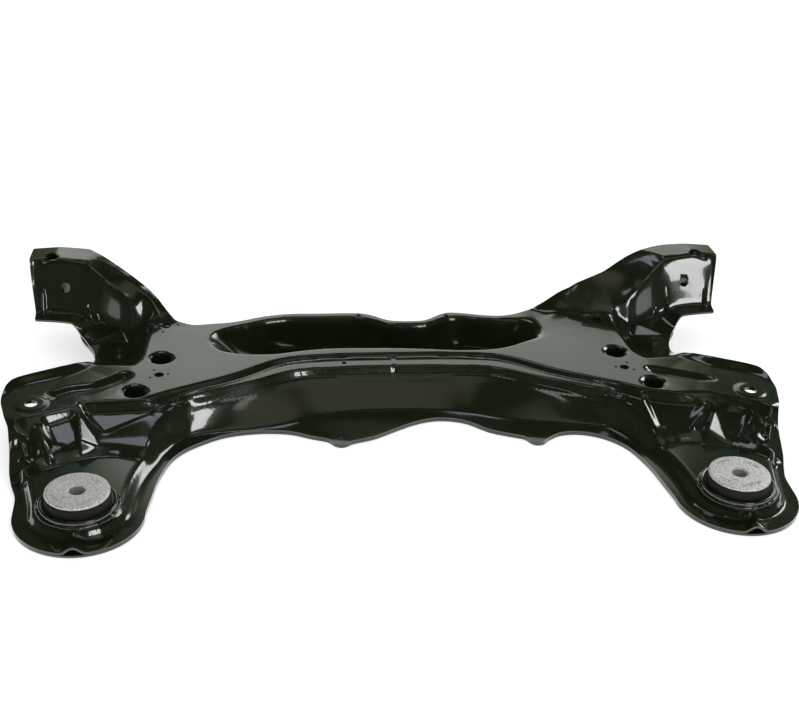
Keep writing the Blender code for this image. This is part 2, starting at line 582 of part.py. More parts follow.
def bushes(cast, rubber, steel):
    """Core with its disc head, rubber, outer sleeve and the collar round it, on each side."""
    top = TOWER + DISC_LIFT
    under_disc = top - DISC_H
    sleeve_top = TOWER + SLEEVE_LIFT
    chamfer = DISC_R * 0.04
    core = [(DISC_R - chamfer, top), (DISC_R, top - chamfer), (DISC_R + DISC_TAPER, under_disc),
            (CORE_R, under_disc), (CORE_R, 0.0), (CORE_BORE_R, 0.0), (CORE_BORE_R, top - chamfer),
            (BORE_MOUTH_R, top)]
    bore = SLEEVE_R - SLEEVE_WALL
    fill_out = bore - GAP
    fill_in = CORE_R + GAP
    waist = (fill_out + fill_in) / 2
    fill = [(fill_out, sleeve_top), (fill_out, SHEET), (waist, 2 * SHEET), (fill_in, SHEET),
            (fill_in, under_disc - GAP), (waist + 0.004, under_disc - GAP)]
    seat = TOWER + GAP
    ring_in = SLEEVE_R + GAP
    ring = [(ring_in + COLLAR_WALL, seat + COLLAR_H), (ring_in + COLLAR_WALL, seat + SHEET),
            (ring_in + COLLAR_FOOT, seat + SHEET / 2), (ring_in + COLLAR_FOOT, seat), (ring_in, seat),
            (ring_in, seat + COLLAR_H)]
    for side, _, spot in sides_of(BUSH):
        centre = at(spot)
        turned(f"bush_core_{side}", core, centre, BUSH_SIDES, cast)
        turned(f"bush_rubber_{side}", fill, centre, BUSH_SIDES, rubber)
        tube(f"bush_sleeve_{side}", centre, SLEEVE_R, bore, 0.0, sleeve_top, BUSH_SIDES, steel)
        turned(f"bush_collar_{side}", ring, centre, BUSH_SIDES, steel)


def lowest(under, centre, radius):
    """The lowest underside height over a round seat."""
    ring = ellipse(centre, radius, radius, 0, 360, 30)
    return min(height_at(*under, x, y) for x, y in ring + [centre])


def spacers(under, over, steel, zinc):
    """Tubes between the shells, nuts under the plate and rings under the ears."""
    for side, _, _ in sides_of(BUSH):
        sign = 1 if side == "right" else -1
        for name, point in [("front", BODY_A), ("rear", BODY_B)]:
            centre = at((sign * point[0], point[1]))
            outer = BODY_HOLE_R + SPACER_WALL
            floor = max(height_at(*over, *centre), SHEET) + GAP
            tube(f"spacer_{name}_{side}", centre, outer, BODY_HOLE_R, floor,
                 lowest(under, centre, outer) - GAP, ROUND_SIDES, steel)
        for name, point in [("front", RACK_FRONT), ("rear", RACK_REAR)]:
            centre = at((sign * point[0], point[1]))
            seat = lowest(under, centre, NUT_R) - GAP
            tube(f"rack_nut_{name}_{side}", centre, NUT_R, RACK_HOLE_R, seat - NUT_H, seat, 6, zinc)
        centre = at((sign * EAR_HOLE[0], EAR_HOLE[1]))
        seat = lowest(under, centre, EAR_RING_R) - GAP
        tube(f"ear_ring_{side}", centre, EAR_RING_R, EAR_HOLE_R, seat - EAR_RING_H, seat, ROUND_SIDES, steel)
        centre = at((sign * HORN_HOLE[0], HORN_HOLE[1]))
        outer = HORN_HOLE_R + SPACER_WALL
        seat = lowest(under, centre, outer) - GAP
        tube(f"horn_sleeve_{side}", centre, outer, HORN_HOLE_R, seat - HORN_SLEEVE_H, seat, ROUND_SIDES, steel)


def horn_plates(under, over, material):
    """The front of each horn: a plate under the rim, down to the tray or to the level of the lip."""
    corner = (HORN_EDGE[-1][0] - RIM_INSET, HORN_EDGE[-1][1] - RIM_INSET)
    for side, sign, rim, tray in [("right", 1, RIM_RIGHT[:2], PAN_RIM_RIGHT[:4]),
                                  ("left", -1, RIM_LEFT[:2], PAN_RIM_LEFT[:4])]:
        front = [corner] + [(x, y - RIM_INSET) for x, y, _ in rim] + [(abs(x), y + RIM_INSET) for x, y in tray]
        stations = []
        for x, y in front:
            px, py = at((sign * x, y))
            high = min(height_at(*under, px, py), height_at(*under, px, py - CLOSING_T)) - 3 * GAP
            low = HORN_TRAY + 3 * GAP
            if x > PAN_GAP[-2][0]:
                low = LIP
            low = min(low, high - PLATE_LEAST)
            stations.append([(px, py, high), (px, py - CLOSING_T, high), (px, py - CLOSING_T, low),
                             (px, py, low)])
        ribbon(f"horn_plate_{side}", stations, material)


def bulkheads(under, over, material):
    """An upright brace on each side between the pan's floor and the plate."""
    for side, sign, _ in sides_of(BUSH):
        x = spread(sign * BULKHEAD_X)
        steps = round((BULKHEAD_Y[1] - BULKHEAD_Y[0]) / BULKHEAD_STEP)
        stations = []
        for i in range(steps + 1):
            y = BULKHEAD_Y[0] + (BULKHEAD_Y[1] - BULKHEAD_Y[0]) * i / steps - ORIGIN_Y
            edges = (x, x + BULKHEAD_T)
            near = [(e, y + d) for e in edges for d in (-BULKHEAD_STEP / 2, 0, BULKHEAD_STEP / 2)]
            high = min(height_at(*under, *spot) for spot in near) - GAP
            low = max(height_at(*over, *spot) for spot in near) + GAP
            stations.append([(edges[0], y, high), (edges[1], y, high), (edges[1], y, low), (edges[0], y, low)])
        ribbon(f"brace_{side}", stations, material)


def build():
    clear_scene()
    steel = paint("black_paint", (0.012, 0.014, 0.012), 0.18, 0.0)
    cast = paint("cast_aluminium", (0.62, 0.60, 0.57), 0.45, 1.0)
    rubber = paint("rubber", (0.02, 0.02, 0.02), 0.85, 0.0)
    zinc = paint("plated_steel", (0.10, 0.10, 0.09), 0.4, 1.0)

    fit = SLEEVE_R + GAP
    holes = both_holes(BUSH, fit, fit, BUSH_SIDES)
    holes += both_holes(EAR_HOLE, EAR_HOLE_R, EAR_HOLE_R, ROUND_SIDES)
    holes += both_holes(HORN_HOLE, HORN_HOLE_R, HORN_HOLE_R, ROUND_SIDES)
    for point in (BODY_A, BODY_B):
        holes += both_holes(point, BODY_HOLE_R, BODY_HOLE_R, ROUND_SIDES)
    for point in (RACK_FRONT, RACK_REAR):
        holes += both_holes(point, RACK_HOLE_R, RACK_HOLE_R, SMALL_SIDES)
    holes += both_holes(FACE_HOLE, FACE_HOLE_RX, FACE_HOLE_RY, SMALL_SIDES)
    folds = [placed(line) for line in upper_folds()]
    outline = placed(curve(OUTLINE, closed=True))
    under = sheet("upper_shell", outline, folds, holes, steel, WALL_FOOT_Z)[1]
    over = lower_shell(under, steel)
    bushes(cast, rubber, steel)
    spacers(under, over, steel, zinc)
    horn_plates(under, over, steel)
    bulkheads(under, over, steel)


build()
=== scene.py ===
"""The looks of a pressed steel front subframe: glossy black paint over stamped shells, with a cast
aluminium disc on the rubber bush in each rear lobe. Metres, +Z up, +Y towards the front of the car."""

from math import ceil, cos, pi, radians, sin

import bpy
import numpy as np
from mathutils import Matrix, Vector
from mathutils.geometry import delaunay_2d_cdt


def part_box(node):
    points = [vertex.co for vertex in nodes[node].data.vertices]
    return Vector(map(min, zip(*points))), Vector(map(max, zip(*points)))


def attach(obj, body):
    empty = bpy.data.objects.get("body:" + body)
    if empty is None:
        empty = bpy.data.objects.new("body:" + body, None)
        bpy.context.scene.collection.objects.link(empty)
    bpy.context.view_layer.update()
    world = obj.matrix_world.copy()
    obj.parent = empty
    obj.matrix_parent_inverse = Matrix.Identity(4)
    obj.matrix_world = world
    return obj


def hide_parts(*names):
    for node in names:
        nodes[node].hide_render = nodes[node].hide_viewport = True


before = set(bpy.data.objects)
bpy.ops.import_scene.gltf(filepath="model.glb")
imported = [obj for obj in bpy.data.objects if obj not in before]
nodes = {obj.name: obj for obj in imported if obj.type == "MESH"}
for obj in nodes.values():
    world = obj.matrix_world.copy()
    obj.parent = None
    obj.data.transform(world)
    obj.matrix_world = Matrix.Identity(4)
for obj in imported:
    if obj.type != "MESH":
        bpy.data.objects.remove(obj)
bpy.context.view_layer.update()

# The plan below is drawn from the bush line, which lies this far behind the origin
ORIGIN_Y = 0.18125
BUSH_X = 0.350

# Grid of the height fields, the softness of the stamped bends, the sheet, and how finely the skins are cut
PITCH = 0.0012
MARGIN = 0.018
BEND_BLUR = 0.0015
DETAIL_BLUR = 0.0009
SHEET = 0.0025
FACET_SOFT = 0.009
AREA_STEP = 0.004
AREA_EDGE = 3.8
AREA_SOFT = 0.002
MAX_SLANT = 3.0
TOP_POINTS = 62000
UNDER_POINTS = 21000
LOWER_TOP_POINTS = 30000
LOWER_UNDER_POINTS = 16000
LEAST_BEND = 4.0
EDGE_STEP = 0.0024
CORNER_TURN = radians(38)
SHARP_TURN = radians(50)
UPWARD = 0.05

# Holes of the upper shell, as centre and radius in plan, with the lip turned down round each body hole. The
# hole in each horn's rear face is oval.
EAR_HOLE = (0.4134, 0.1525)
HORN_HOLE = (0.412, 0.4015)
BODY_HOLES = [(0.2758, 0.2533), (0.3022, 0.1756)]
RACK_HOLES = [(0.2726, 0.3345), (0.2764, 0.2126)]
BODY_HOLE_R = 0.0122
BODY_HOLE_LIP = 0.003
BODY_HOLE_LIP_DROP = 0.0020
RACK_HOLE_R = 0.0056
EAR_HOLE_R = 0.0070
HORN_HOLE_R = 0.0083
BUSH_HOLE_R = 0.0368
FACE_HOLE = (0.3961, 0.3781)
FACE_HOLE_RX = 0.0055
FACE_HOLE_RY = 0.0022

# Photograph's camera, solved from mirrored features
CAMERA_AT = (-0.18563, -1.34966, 0.82113)
CAMERA_RIGHT = (0.99279007, -0.11174633, 0.04336631)
CAMERA_UP = (0.01514971, 0.4758659, 0.87938736)
CAMERA_BACK = (-0.11890486, -0.87239005, 0.47412786)
FOCAL_PIXELS = 1350
PHOTO_WIDTH = 799
SENSOR = 36.0

# Level of the sill under each horn's rear face, above the plane that the base rests on
SILL_Z = 0.0523

# Sloping wall in front of each bush: its outline, how the ribs across it reach and fall away past their
# ends, the ribs as top, foot and the slopes of both flanks, and the flat panels pressed into it
WALL_AREA = [(0.289, 0.149), (0.304, 0.140), (0.330, 0.1365), (0.357, 0.136), (0.385, 0.1245),
             (0.407, 0.112), (0.423, 0.101), (0.416, 0.081), (0.402, 0.074), (0.379, 0.082),
             (0.357, 0.093), (0.336, 0.098), (0.313, 0.097), (0.289, 0.095)]
RIB_REACH = 0.022
RIB_FALL = 0.10
RIB_HEAD_FALL = 0.02
WALL_RIBS = {
    1: [((0.3645, 0.1420, 0.0395), (0.3324, 0.1070, 0.0310), 2.2, 1.6),
        ((0.3705, 0.1430, 0.0395), (0.3460, 0.0960, 0.0310), 1.8, 0.46),
        ((0.4053, 0.1195, 0.0390), (0.3830, 0.0850, 0.0290), 1.8, 0.46),
        ((0.4240, 0.1060, 0.0350), (0.4070, 0.0660, 0.0235), 1.5, 0.80)],
    -1: [((-0.4027, 0.1195, 0.0385), (-0.3870, 0.0790, 0.0275), 1.2, 1.6),
         ((-0.3627, 0.1470, 0.0450), (-0.3565, 0.0990, 0.0340), 2.2, 0.56),
         ((-0.4215, 0.1120, 0.0350), (-0.4080, 0.0680, 0.0225), 0.70, 1.3)],
}
WALL_FACETS = {
    1: [[(0.2870, 0.1560, 0.0370), (0.3500, 0.1400, 0.0370), (0.3270, 0.1130, 0.0262),
         (0.2930, 0.1120, 0.0240)],
        [(0.3780, 0.1290, 0.0380), (0.4010, 0.1180, 0.0370), (0.3800, 0.0950, 0.0262),
         (0.3640, 0.1010, 0.0262)]],
    -1: [[(-0.3965, 0.1270, 0.0355), (-0.3676, 0.1395, 0.0375), (-0.3594, 0.1049, 0.0270),
          (-0.3831, 0.0974, 0.0260)],
         [(-0.3580, 0.1500, 0.0380), (-0.2720, 0.1560, 0.0370), (-0.2842, 0.1457, 0.0325),
          (-0.3338, 0.1187, 0.0275)]],
}

# Ear: the groove between the plate and the hole's boss with its depth and soft edge, and the boss
EAR_GROOVE = {
    1: [(0.306, 0.2120), (0.330, 0.2050), (0.352, 0.1960), (0.374, 0.1860), (0.378, 0.1800),
        (0.366, 0.1800), (0.343, 0.1860), (0.318, 0.1960), (0.304, 0.2060)],
    -1: [(0.396, 0.1770), (0.374, 0.1890), (0.353, 0.1930), (0.335, 0.2040), (0.316, 0.2190),
         (0.309, 0.2160), (0.311, 0.2080), (0.334, 0.1900), (0.352, 0.1760), (0.374, 0.1720),
         (0.394, 0.1640)],
}
EAR_GROOVE_DEPTH = 0.0042
EAR_GROOVE_SOFT = 0.0026
EAR_BOSS_R = 0.0175
EAR_BOSS_RISE = 0.0012
EAR_BOSS_SOFT = 0.0010

# Darts at the foot of each horn's rear face: how far their root lies behind the sill, their depth, and each
# one's place along the sill, height and half width
DART_ROOT = 0.007
DART_DEPTH = 0.013
DARTS = {
    1: [(0.3730, 0.024, 0.0050), (0.4240, 0.023, 0.0045), (0.3590, 0.012, 0.0035)],
    -1: [(0.4235, 0.029, 0.0052), (0.4140, 0.013, 0.0035), (0.3705, 0.023, 0.0075),
         (0.3590, 0.016, 0.0040)],
}
SILL_Y = 0.366

# Disc and collar: the level of the disc's top, the raised marks on it as first angle, count and radius,
# and the weld bead round the collar
DISC_TOP = 0.03525
MARK_GROUPS = [(200, 6, 0.0245), (262, 7, 0.0245), (20, 6, 0.0245), (100, 5, 0.0250), (225, 4, 0.0175)]
MARK_TURN = 7.5
MARK_RISE = 0.0012
MARK_ROOT = 0.0004
MARK_HALF_WIDTH = 0.0005
TALL_MARK = 0.0021
SHORT_MARK = 0.0013
WELD_RING_R = 0.0418
WELD_LEVEL = 0.0172
WELD_THICK = 0.0019

# Areas where the skin is evened, with how widely and how softly. The long wall of the middle, the side of
# the tower and the rear face of the horn are drawn for the right half and mirrored. The pocket's end and
# the horn's root are on the right only.
CENTRE_WALL = [(0.0, 0.2260), (0.060, 0.2240), (0.110, 0.2205), (0.137, 0.2110), (0.161, 0.1975),
               (0.194, 0.1830), (0.227, 0.1680), (0.247, 0.1570), (0.2535, 0.1470), (0.232, 0.1530),
               (0.196, 0.1590), (0.151, 0.1640), (0.116, 0.1710), (0.090, 0.1830), (0.055, 0.1930),
               (0.0, 0.1955)]
POCKET_END = [(0.150, 0.290), (0.225, 0.290), (0.225, 0.348), (0.150, 0.338)]
TOWER_SIDE = [(0.250, 0.151), (0.262, 0.150), (0.283, 0.100), (0.296, 0.068), (0.3035, 0.030),
              (0.3035, -0.020), (0.292, -0.020), (0.290, 0.020), (0.285, 0.050), (0.277, 0.078),
              (0.266, 0.105), (0.252, 0.130)]
HORN_FACE = [(0.356, 0.365), (0.431, 0.3685), (0.436, 0.390), (0.412, 0.3935), (0.374, 0.3945),
             (0.350, 0.374)]
HORN_ROOT = [(0.200, 0.352), (0.240, 0.3485), (0.280, 0.347), (0.300, 0.350), (0.312, 0.3555),
             (0.328, 0.362), (0.344, 0.380), (0.330, 0.400), (0.290, 0.383), (0.250, 0.3775),
             (0.215, 0.369)]
EVENED_AREAS = [(WALL_AREA, 0.004, AREA_SOFT), (CENTRE_WALL, 0.005, 0.005), (TOWER_SIDE, 0.0045, 0.004)]
POCKET_END_BLUR = 0.006
POCKET_END_SOFT = 0.006
HORN_FACE_BLUR = 0.014
HORN_ROOT_BLUR = 0.0035

# Ledge of the right half: the flat strip close under the plate, and the small bead where it turns into
# the wall
LEDGE_FLAT = [(0.0, 0.2515), (0.060, 0.2510), (0.112, 0.2465), (0.130, 0.2420), (0.147, 0.2330),
              (0.166, 0.2195), (0.183, 0.2080), (0.207, 0.1950), (0.229, 0.1850), (0.258, 0.1670),
              (0.227, 0.1710), (0.194, 0.1860), (0.161, 0.2005), (0.137, 0.2140), (0.110, 0.2235),
              (0.060, 0.2270), (0.0, 0.2290)]
LEDGE_FLAT_RISE = 0.0064
LEDGE_BEAD = [(0.0, 0.2250), (0.060, 0.2230), (0.110, 0.2195), (0.137, 0.2100), (0.161, 0.1965),
              (0.194, 0.1820), (0.227, 0.1670), (0.245, 0.1570), (0.245, 0.1530), (0.227, 0.1630),
              (0.194, 0.1780), (0.161, 0.1925), (0.137, 0.2060), (0.110, 0.2155), (0.060, 0.2190),
              (0.0, 0.2210)]
LEDGE_BEAD_RISE = 0.0012
LEDGE_SOFT = 0.0011

# Pocket: the box in plan where its skin lies, the level of its rim, the painted shade inside it as the share
# of the paint's reflection taken away there, and its front wall, drawn from end to end
POCKET_BOX = [(-0.225, 0.258), (0.205, 0.356)]
POCKET_RIM_Z = 0.0452
POCKET_PAINTED_SHADE = 0.86
POCKET_WALL = [(-0.205, 0.318), (-0.165, 0.334), (-0.135, 0.347), (-0.115, 0.350), (-0.040, 0.350),
               (-0.012, 0.338), (0.003, 0.329), (0.052, 0.329), (0.083, 0.347), (0.124, 0.341),
               (0.172, 0.338), (0.192, 0.318), (0.150, 0.296), (-0.150, 0.296)]
POCKET_WALL_BLUR = 0.012
POCKET_WALL_SOFT = 0.003

# Small holes through both shells, the one through the ledge alone, and the marks round the rack nuts
SMALL_HOLES = [(-0.0323, 0.3596, 0.0029), (0.0793, 0.3562, 0.0027), (-0.0702, 0.1378, 0.0030)]
LOWER_HOLE_MORE = 0.0006
LEDGE_HOLE = (-0.0598, 0.2397, 0.0030)
WELD_DOTS = [(0.2826, 0.2241), (0.2662, 0.2140), (0.2864, 0.2064), (0.2843, 0.3400), (0.2586, 0.3379),
             (0.2762, 0.3196)]
WELD_DOT_R = 0.0017
WELD_DOT_SIDES = 14
WELD_DOT_RISE = 0.00012
WELD_DOT_THICK = 0.0006

# Studio: the white sweep that the paint mirrors, the floor and the lamp
BACKDROP_TOP = radians(34)
BACKDROP_LEFT = -0.12
BACKDROP_RIGHT = 0.39
BACKDROP_LEFT_LEVEL = 1.06
BACKDROP_RIGHT_LEVEL = 0.78
DARK_TINT = (0.76, 1.0, 0.64, 1)
LIGHT_TINT = (0.96, 1.0, 0.94, 1)
SIDE_LEVEL = 0.07
CEILING_LEVEL = 0.02
ROOM_LEVEL = 0.72
FLOOR_GLOW = 0.50
FLOOR_HALF = 12.0
FLOOR_GAP = 0.0005
KEY_AT = (1.36, -2.47, 1.44)
KEY_AIM = (0.3, 0.1, 0.05)
KEY_WIDTH = 1.0
KEY_HEIGHT = 0.8
KEY_POWER = 20
KEY_COLOUR = (0.97, 0.94, 1.0)

# Soft lights that only the paint mirrors, as direction, inner and outer angle, level and colour
PATCHES = [((0.25, -0.25, 0.94), 6, 24, 0.30, (1.0, 0.93, 0.80)),
           ((-0.045, 0.45, 0.893), 5, 9, 1.6, (0.80, 0.86, 1.0)),
           ((0.62, 0.55, 0.56), 8, 13, 5.0, (1.0, 1.0, 1.0)),
           ((-0.26, -0.46, 0.85), 3, 7, 1.8, (1.0, 0.97, 1.0)),
           ((0.44, -0.43, 0.79), 3, 7, 1.2, (1.0, 0.97, 1.0))]


def at(x, y):
    """A point of the plan, from the bush line, in the frame."""
    return x, y - ORIGIN_Y


def smooth(t):
    t = np.clip(t, 0, 1)
    return t * t * (3 - 2 * t)


class Field:
    """A height for each cell of a fine square grid over the plan."""

    def __init__(self, low, high):
        self.x0 = low[0] - MARGIN
        self.y0 = low[1] - MARGIN
        self.nx = ceil((high[0] + MARGIN - self.x0) / PITCH) + 1
        self.ny = ceil((high[1] + MARGIN - self.y0) / PITCH) + 1
        xs = self.x0 + PITCH * np.arange(self.nx)
        ys = self.y0 + PITCH * np.arange(self.ny)
        self.x, self.y = np.meshgrid(xs, ys, indexing="ij")
        self.z = np.full((self.nx, self.ny), np.nan)

    def cells(self, low, high):
        i0 = max(0, int((low[0] - self.x0) / PITCH))
        j0 = max(0, int((low[1] - self.y0) / PITCH))
        i1 = min(self.nx, int((high[0] - self.x0) / PITCH) + 2)
        j1 = min(self.ny, int((high[1] - self.y0) / PITCH) + 2)
        return slice(i0, i1), slice(j0, j1)

    def add_triangle(self, a, b, c):
        corners = np.array([a, b, c])
        part = self.cells(corners.min(0), corners.max(0))
        x, y = self.x[part], self.y[part]
        det = (b[0] - a[0]) * (c[1] - a[1]) - (c[0] - a[0]) * (b[1] - a[1])
        if abs(det) < 1e-12:
            return
        u = ((x - a[0]) * (c[1] - a[1]) - (c[0] - a[0]) * (y - a[1])) / det
        v = ((b[0] - a[0]) * (y - a[1]) - (x - a[0]) * (b[1] - a[1])) / det
        hit = (u > -1e-4) & (v > -1e-4) & (u + v < 1 + 1e-4)
        z = a[2] + u * (b[2] - a[2]) + v * (c[2] - a[2])
        window = self.z[part]
        window[hit] = np.fmax(window[hit], z[hit])

    def grow(self, steps):
        """Carries the heights outwards past the edge, so that a blur leaves the edge where it is."""
        for _ in range(steps):
            total = np.zeros_like(self.z)
            count = np.zeros_like(self.z)
            for shift, axis in [(1, 0), (-1, 0), (1, 1), (-1, 1)]:
                near = np.roll(self.z, shift, axis)
                good = ~np.isnan(near)
                total[good] += near[good]
                count += good
            fill = np.isnan(self.z) & (count > 0)
            self.z[fill] = total[fill] / count[fill]
        self.z[np.isnan(self.z)] = 0.0

    def blur(self, sigma):
        self.z = blurred(self.z, sigma)

    def sample(self, x, y):
        u = np.clip((np.asarray(x) - self.x0) / PITCH, 0, self.nx - 1.001)
        v = np.clip((np.asarray(y) - self.y0) / PITCH, 0, self.ny - 1.001)
        i, j = u.astype(int), v.astype(int)
        s, t = u - i, v - j
        z = self.z
        return (z[i, j] * (1 - s) * (1 - t) + z[i + 1, j] * s * (1 - t)
                + z[i, j + 1] * (1 - s) * t + z[i + 1, j + 1] * s * t)


def blurred(z, sigma, axes=(0, 1)):
    cells = sigma / PITCH
    reach = ceil(2.6 * cells)
    for axis in axes:
        total = np.zeros_like(z)
        weight = 0.0
        for k in range(-reach, reach + 1):
            w = np.exp(-0.5 * (k / cells) ** 2)
            total += w * np.roll(z, k, axis)
            weight += w
        z = total / weight
    return z


def node_skin(node):
    """The corners and triangles of a node's upper skin, with its doubled corners made one."""
    mesh = nodes[node].data
    mesh.calc_loop_triangles()
    points = []
    number = {}
    triangles = []
    for triangle in mesh.loop_triangles:
        if triangle.normal.z < UPWARD:
            continue
        ids = []
        for i in triangle.vertices:
            spot = mesh.vertices[i].co
            key = (round(spot.x, 5), round(spot.y, 5), round(spot.z, 5))
            if key not in number:
                number[key] = len(points)
                points.append(tuple(spot))
            ids.append(number[key])
        triangles.append(ids)
    return points, triangles


def edge_loops(points, triangles):
    """The closed rings round the skin and its holes, the longest first."""
    used = set()
    for a, b, c in triangles:
        used |= {(a, b), (b, c), (c, a)}
    following = {a: b for a, b in used if (b, a) not in used}
    loops = []
    while following:
        start = next(iter(following))
        loop = [start]
        spot = following.pop(start)
        while spot != start and spot in following:
            loop.append(spot)
            spot = following.pop(spot)
        loops.append([points[i][:2] for i in loop])
    return sorted(loops, key=len, reverse=True)


def turn_at(a, b, c):
    before = Vector((b[0] - a[0], b[1] - a[1]))
    after = Vector((c[0] - b[0], c[1] - b[1]))
    if before.length < 1e-7 or after.length < 1e-7:
        return 0.0
    return abs(before.angle_signed(after))


def curved(loop, step):
    """A smooth closed curve through the loop's corners, with its sharp corners kept, in even steps."""
    count = len(loop)
    sharp = [turn_at(loop[i - 1], loop[i], loop[(i + 1) % count]) > CORNER_TURN for i in range(count)]
    spots = []
    for i in range(count):
        p0, p1 = np.array(loop[i - 1]), np.array(loop[i])
        p2, p3 = np.array(loop[(i + 1) % count]), np.array(loop[(i + 2) % count])
        length = np.linalg.norm(p2 - p1)
        leave = arrive = p2 - p1
        if not sharp[i]:
            leave = (p2 - p0) * length / max(1e-9, np.linalg.norm(p2 - p0))
        if not sharp[(i + 1) % count]:
            arrive = (p3 - p1) * length / max(1e-9, np.linalg.norm(p3 - p1))
        pieces = max(1, round(length / step))
        for k in range(pieces):
            t = k / pieces
            spots.append((2 * t ** 3 - 3 * t ** 2 + 1) * p1 + (t ** 3 - 2 * t ** 2 + t) * leave
                         + (3 * t ** 2 - 2 * t ** 3) * p2 + (t ** 3 - t ** 2) * arrive)
    ring = np.array(spots)
    return 0.5 * ring + 0.25 * np.roll(ring, 1, 0) + 0.25 * np.roll(ring, -1, 0)


def circle(centre, rx, ry, count):
    turns = 2 * pi * np.arange(count) / count
    return np.stack([centre[0] + rx * np.cos(turns), centre[1] + ry * np.sin(turns)], 1)


def filled(field, loops):
    """True for each cell inside the first loop and outside the others."""
    crossings = np.zeros((field.nx, field.ny), int)
    for loop in loops:
        a = loop
        b = np.roll(loop, -1, 0)
        for (ax, ay), (bx, by) in zip(a, b):
            if ay == by:
                continue
            low, high = min(ay, by), max(ay, by)
            j0 = max(0, ceil((low - field.y0) / PITCH))
            j1 = min(field.ny, ceil((high - field.y0) / PITCH))
            for j in range(j0, j1):
                y = field.y0 + PITCH * j
                x = ax + (y - ay) * (bx - ax) / (by - ay)
                i = max(0, min(field.nx, ceil((x - field.x0) / PITCH)))
                crossings[i:, j] += 1
    return crossings % 2 == 1


def clear_of_edges(field, loops, reach):
    """True for each cell that lies further than the reach from every loop's points."""
    clear = np.ones((field.nx, field.ny), bool)
    for loop in loops:
        for start, end in zip(loop, np.roll(loop, -1, 0)):
            for t in (0.0, 0.5):
                x, y = start + (end - start) * t
                part = field.cells((x - reach, y - reach), (x + reach, y + reach))
                near = np.hypot(field.x[part] - x, field.y[part] - y) < reach
                clear[part] &= ~near
    return clear


def inside(loop, x, y):
    hit = False
    for a, b in zip(loop, np.roll(loop, -1, 0)):
        if (a[1] > y) != (b[1] > y) and x < a[0] + (y - a[1]) * (b[0] - a[0]) / (b[1] - a[1]):
            hit = not hit
    return hit


def layer(field, loops, budget):
    """Plan points and triangles between the loops: a coarse grid, and a fine one where it bends most."""
    allowed = filled(field, loops) & clear_of_edges(field, loops, 0.7 * PITCH)
    gx, gy = np.gradient(blurred(field.z, PITCH), PITCH)
    bend = sum(np.abs(g) for first in (gx, gy) for g in np.gradient(first, PITCH))
    i, j = np.indices(field.z.shape)
    stride = 2 if budget > 40000 else 4
    coarse = allowed & (i % stride == 0) & (j % stride == 0)
    left = budget - int(coarse.sum())
    if stride == 4:
        fine = allowed & ~coarse & (i % 2 == 0) & (j % 2 == 0)
    else:
        fine = allowed & ~coarse
    order = np.sort(bend[fine])[::-1]
    limit = order[min(left, len(order) - 1)]
    chosen = coarse | (fine & (bend > max(limit, LEAST_BEND)))
    flat = np.concatenate(loops + [np.stack([field.x[chosen], field.y[chosen]], 1)])
    edges = []
    first = 0
    for loop in loops:
        count = len(loop)
        edges += [(first + k, first + (k + 1) % count) for k in range(count)]
        first += count
    verts, _, faces, _, _, _ = delaunay_2d_cdt([Vector(p) for p in flat], edges, [], 0, 1e-7)
    spots = np.array([tuple(v) for v in verts])
    if len(spots) != len(flat):
        raise RuntimeError(f"the plan's lines cross: {len(flat)} points became {len(spots)}")
    faces = np.array(faces)
    at_rim = (faces < first).all(1)
    keep = ~at_rim
    for n in np.nonzero(at_rim)[0]:
        x, y = spots[faces[n]].mean(0)
        keep[n] = inside(loops[0], x, y) and not any(inside(loop, x, y) for loop in loops[1:])
    a, b, c = (spots[faces[:, k]] for k in range(3))
    turned_over = (b[:, 0] - a[:, 0]) * (c[:, 1] - a[:, 1]) < (b[:, 1] - a[:, 1]) * (c[:, 0] - a[:, 0])
    faces[turned_over] = faces[turned_over][:, ::-1]
    return spots, faces[keep], edges, first


def shell(name, field, loops, top, under):
    """A closed skin of even thickness under a height field, in place of the node of the same name."""
    gx, gy = np.gradient(field.z, PITCH)
    slant = np.minimum(MAX_SLANT, np.sqrt(1 + gx ** 2 + gy ** 2))
    low = Field.__new__(Field)
    low.__dict__.update(field.__dict__)
    low.z = field.z - SHEET * slant
    spots, faces, edges, rim = layer(field, loops, top)
    low_spots, low_faces, _, _ = layer(low, loops, under)
    upper = np.column_stack([spots, field.sample(spots[:, 0], spots[:, 1])])
    lower = np.column_stack([low_spots, low.sample(low_spots[:, 0], low_spots[:, 1])])
    shift = len(upper)
    walls = []
    for a, b in edges:
        walls.append((b, a, a + shift))
        walls.append((b, a + shift, b + shift))
    ahead = {(a, b) for a, b in zip(faces[:, 0], faces[:, 1])}
    ahead |= {(a, b) for a, b in zip(faces[:, 1], faces[:, 2])}
    ahead |= {(a, b) for a, b in zip(faces[:, 2], faces[:, 0])}
    for n, (a, b) in enumerate(edges):
        if (a, b) not in ahead:
            walls[2 * n] = walls[2 * n][::-1]
            walls[2 * n + 1] = walls[2 * n + 1][::-1]
    every = np.concatenate([faces, low_faces[:, ::-1] + shift, np.array(walls)])
    piece(name, np.concatenate([upper, lower]), every, PAINT, "black_paint", name)


def piece(name, points, faces, material, slot, *stands_for):
    mesh = bpy.data.meshes.new(name)
    mesh.from_pydata([tuple(p) for p in points], [], [tuple(int(i) for i in f) for f in faces])
    mesh.validate()
    mesh.shade_smooth()
    mesh.set_sharp_from_angle(angle=SHARP_TURN)
    made = bpy.data.objects.new(name + "_skin", mesh)
    bpy.context.collection.objects.link(made)
    mesh.materials.append(material)
    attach(made, "root")
    if stands_for:
        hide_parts(*stands_for)


